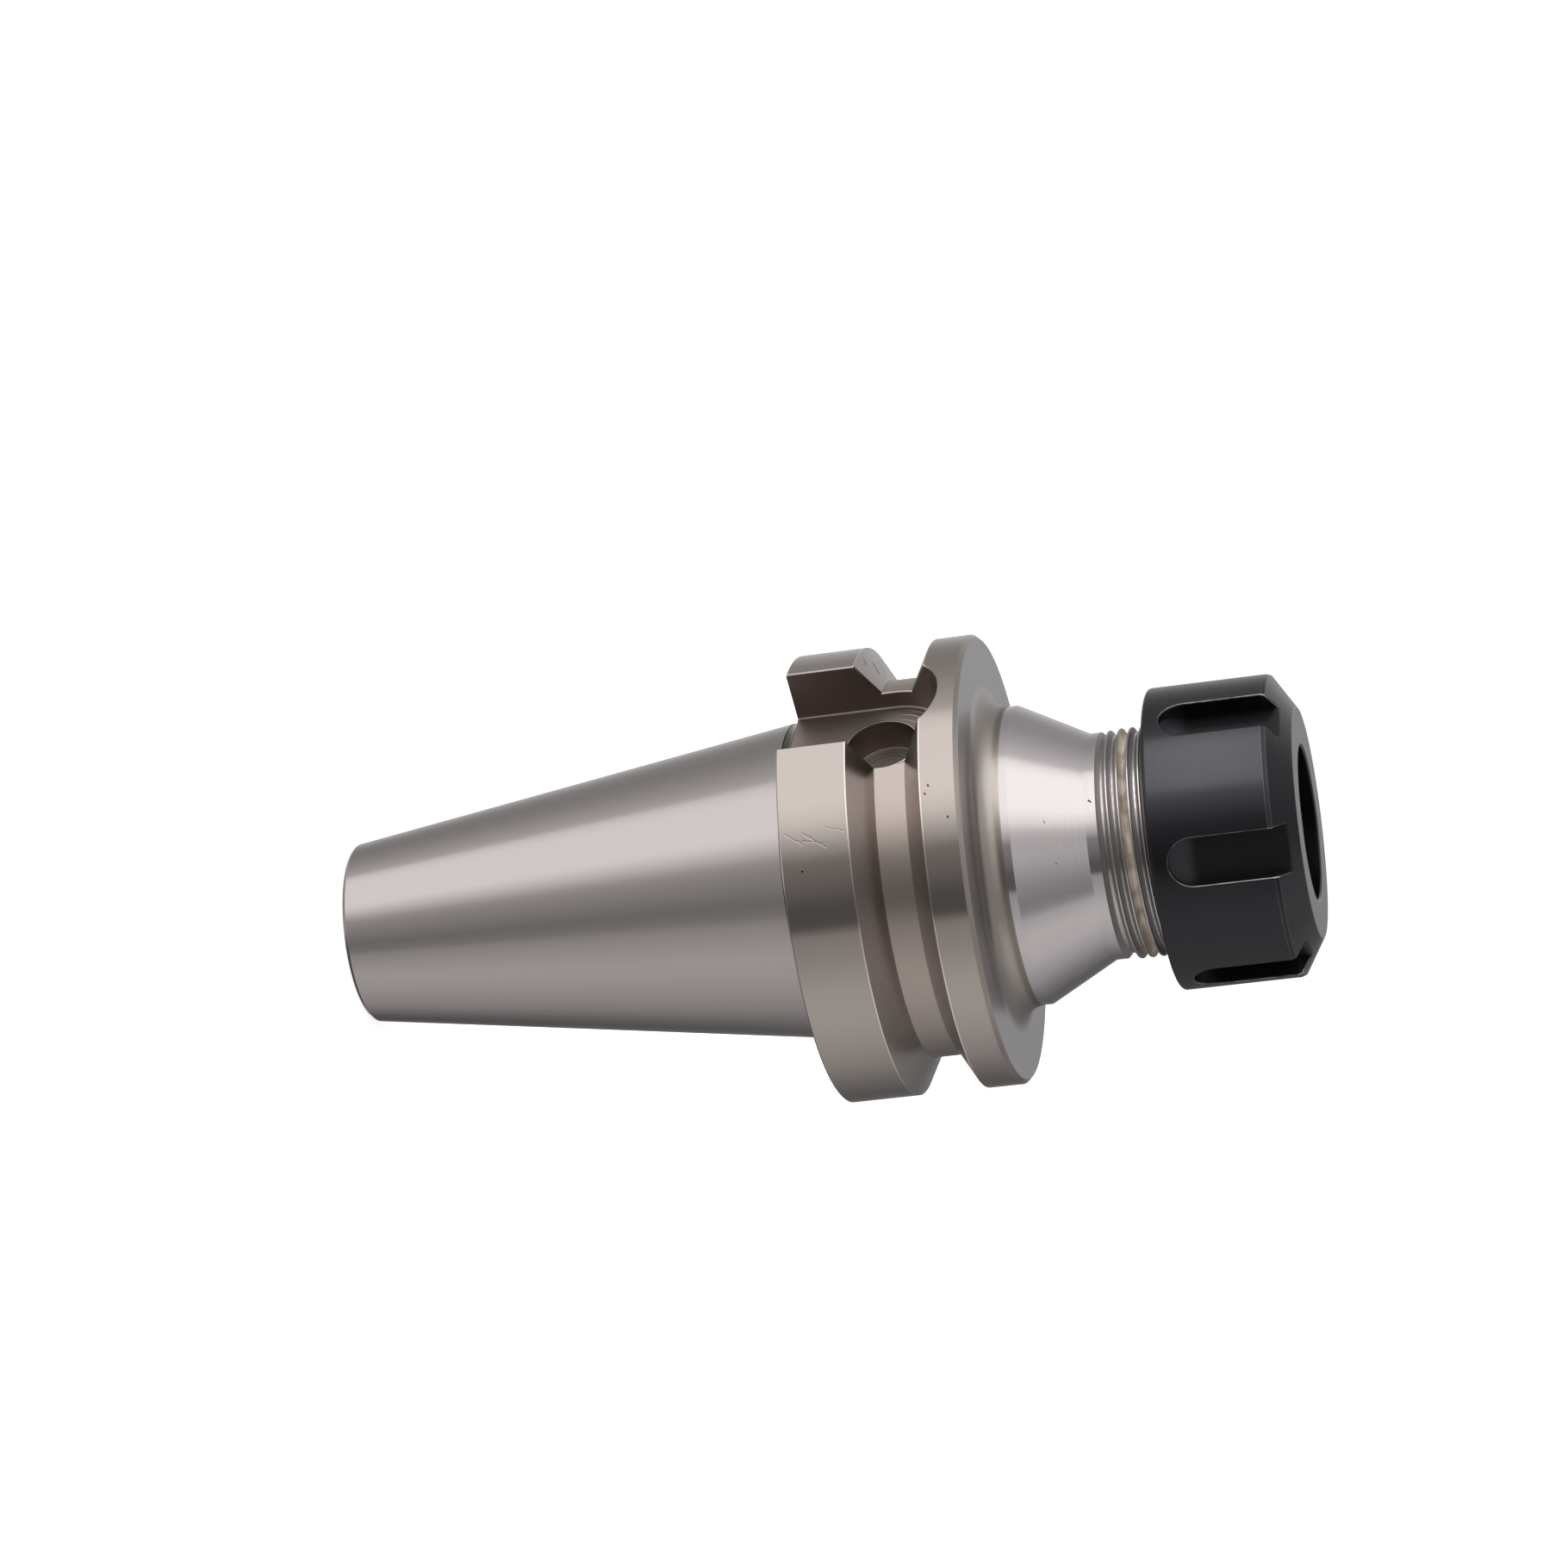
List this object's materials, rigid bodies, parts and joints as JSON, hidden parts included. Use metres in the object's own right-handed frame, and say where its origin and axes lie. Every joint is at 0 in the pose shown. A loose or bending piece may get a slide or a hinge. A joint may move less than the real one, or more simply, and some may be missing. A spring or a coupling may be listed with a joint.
{
  "type": "collet chuck holder",
  "caption": "Steep-taper tool holder with a grooved flange, drive slots and a conical neck, carrying a slotted clamping nut on a fine thread.",
  "frame": {"origin": "centre of the gauge plane, where the 7/24 taper measures 44.45 mm across", "axes": "+Z along the axis of rotation towards the clamping nut, X through the two drive slots, the data chip hole on -X"},
  "size_m": [0.063, 0.063, 0.1354],
  "materials": {
    "holder_body": "hardened and ground steel, fine turned lines on the neck",
    "clamping_nut": "black oxide, worn bright along the slot edges",
    "pressure_ring": "hardened steel, plain turned"
  },
  "bodies": {
    "holder": {"holder_body": "holder_body"},
    "ring": {"pressure_ring": "pressure_ring"},
    "nut": {"clamping_nut": "clamping_nut"}
  },
  "joints": [
    {"name": "nut_travel", "type": "slide", "parent": "holder", "child": "ring", "axis": [0, 0, 1], "range_m": [-0.0015, 0.0105]},
    {"name": "nut_turn", "type": "hinge", "parent": "ring", "child": "nut", "pos_m": [0, 0, 0.06], "axis": [0, 0, 1], "range_deg": [-360, 2520]}
  ],
  "couplings": [
    {"joint": "nut_travel", "follows": "nut_turn", "m_per_rad": 0.00023873}
  ]
}
